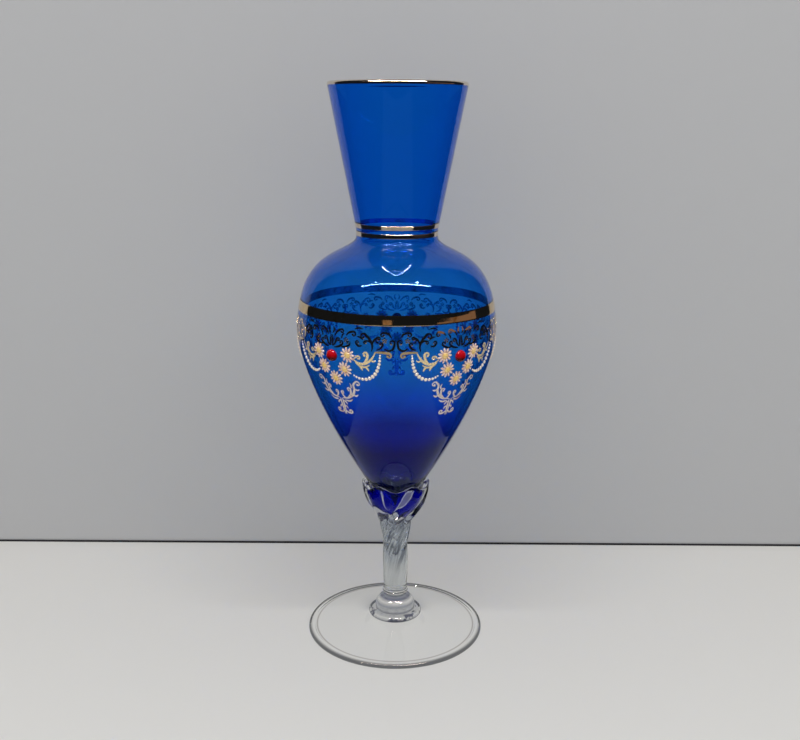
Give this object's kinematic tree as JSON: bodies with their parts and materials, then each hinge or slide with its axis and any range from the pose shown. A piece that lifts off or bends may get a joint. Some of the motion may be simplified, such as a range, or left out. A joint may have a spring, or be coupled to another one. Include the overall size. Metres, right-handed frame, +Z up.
{
  "type": "vase",
  "caption": "Pedestal vase of cobalt glass with a cone neck, egg-shaped bowl, clear twisted stem and disc foot, gilded and set with red cabochons and enamel daisies.",
  "frame": {"origin": "centre of the plane that the foot rests on", "axes": "+Z up along the vase's axis; -Y is the front, half way between two medallions; +X to the right seen from the front"},
  "size_m": [0.0924, 0.0933, 0.26],
  "materials": {
    "cobalt_glass": "polished, transparent, blown",
    "clear_glass": "polished, transparent, hot-worked",
    "gilding": "bright fired gold",
    "ruby_glass": "polished cabochon",
    "enamel": "raised glossy enamel, stood in for by gloss plastic"
  },
  "bodies": {
    "root": {"foot": "clear_glass", "knop": "clear_glass", "twisted_stem": "clear_glass", "frilled_collar": "clear_glass", "vessel": "cobalt_glass", "rim_gilding": "gilding", "neck_line_upper": "gilding", "neck_line_lower": "gilding", "shoulder_band": "gilding", "jewel_1": "ruby_glass", "jewel_2": "ruby_glass", "jewel_3": "ruby_glass", "jewel_4": "ruby_glass", "jewel_5": "ruby_glass", "daisies_1": "enamel", "daisies_2": "enamel", "daisies_3": "enamel", "daisies_4": "enamel", "daisies_5": "enamel", "pearl_swags_1": "enamel", "pearl_swags_2": "enamel", "pearl_swags_3": "enamel", "pearl_swags_4": "enamel", "pearl_swags_5": "enamel"}
  },
  "joints": []
}
